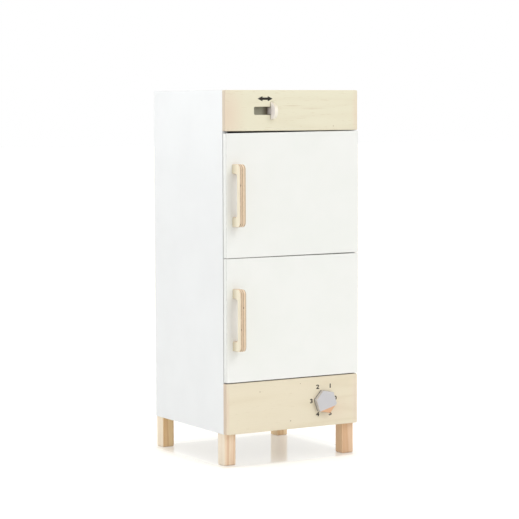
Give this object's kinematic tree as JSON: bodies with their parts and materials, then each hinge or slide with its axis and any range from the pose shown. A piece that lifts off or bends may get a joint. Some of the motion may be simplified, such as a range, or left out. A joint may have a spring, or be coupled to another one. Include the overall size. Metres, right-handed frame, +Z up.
{
  "type": "toy refrigerator",
  "caption": "Free-standing toy refrigerator in white board and wood on square legs, with hinged doors, plywood handles, a sliding control above and a turning dial below.",
  "frame": {"origin": "on the floor, midway across the cabinet and midway along the overall depth, from the handles' front to the cabinet's back", "axes": "+X towards the hinge side, +Y towards the back, +Z up; the doors face -Y"},
  "size_m": [0.3379, 0.355, 0.8],
  "materials": {
    "painted_board": "satin white paint on fibreboard",
    "painted_door": "satin white paint on fibreboard",
    "painted_back": "white painted hardboard",
    "fascia_wood": "clear matt lacquer",
    "leg_wood": "clear matt lacquer",
    "handle_plywood": "clear matt lacquer, bare laminated edges",
    "knob_wood": "pale grey paint with one corner left warm orange",
    "tab_wood": "off-white paint",
    "plain_wood": "bare wood",
    "dowel_wood": "bare beech",
    "steel": "zinc plated",
    "catch_plastic": "moulded white",
    "magnet": "sintered magnet"
  },
  "bodies": {
    "root": {"left_side_panel": "painted_board", "right_side_panel": "painted_board", "top_panel": "painted_board", "header_panel": "painted_board", "divider_panel": "painted_board", "floor_panel": "painted_board", "bottom_panel": "painted_board", "back_panel": "painted_back", "back_panel_screws": "steel", "board_dowels": "dowel_wood", "upper_shelf": "painted_board", "lower_shelf": "painted_board", "shelf_pegs": "dowel_wood", "upper_fascia": "fascia_wood", "lower_fascia": "fascia_wood", "fascia_dowels": "dowel_wood", "front_left_leg": "leg_wood", "front_right_leg": "leg_wood", "rear_left_leg": "leg_wood", "rear_right_leg": "leg_wood", "leg_screws": "steel", "slider_top_rail": "plain_wood", "slider_bottom_rail": "plain_wood", "rail_screws": "steel", "upper_door_top_hinge_frame_leaf": "steel", "upper_door_bottom_hinge_frame_leaf": "steel", "lower_door_top_hinge_frame_leaf": "steel", "lower_door_bottom_hinge_frame_leaf": "steel", "hinge_pins": "steel", "hinge_frame_screws": "steel", "upper_catch": "catch_plastic", "lower_catch": "catch_plastic", "catch_magnets": "magnet", "catch_screws": "steel"},
    "upper_door": {"upper_door": "painted_door", "upper_handle": "handle_plywood", "upper_handle_screws": "steel", "upper_door_top_hinge_door_leaf": "steel", "upper_door_bottom_hinge_door_leaf": "steel", "upper_hinge_door_screws": "steel", "upper_strike_plate": "steel", "upper_strike_screw": "steel"},
    "lower_door": {"lower_door": "painted_door", "lower_handle": "handle_plywood", "lower_handle_screws": "steel", "lower_door_top_hinge_door_leaf": "steel", "lower_door_bottom_hinge_door_leaf": "steel", "lower_hinge_door_screws": "steel", "lower_strike_plate": "steel", "lower_strike_screw": "steel"},
    "slider": {"slider_tab": "tab_wood", "slider_keeper": "plain_wood", "slider_screws": "steel"},
    "dial": {"dial_knob": "knob_wood", "dial_axle": "dowel_wood", "dial_hub": "plain_wood", "dial_screw": "steel"}
  },
  "joints": [
    {"name": "upper_door_hinge", "type": "hinge", "parent": "root", "child": "upper_door", "pos_m": [0.16915, -0.1325, 0.5792], "axis": [0, 0, 1], "range_deg": [0, 180]},
    {"name": "lower_door_hinge", "type": "hinge", "parent": "root", "child": "lower_door", "pos_m": [0.16915, -0.1325, 0.3119], "axis": [0, 0, 1], "range_deg": [0, 180]},
    {"name": "slider_travel", "type": "slide", "parent": "root", "child": "slider", "axis": [1, 0, 0], "range_m": [-0.04, 0.0056]},
    {"name": "dial_turn", "type": "hinge", "parent": "root", "child": "dial", "pos_m": [0.0795, -0.131, 0.1223], "axis": [0, -1, 0], "continuous": true}
  ]
}
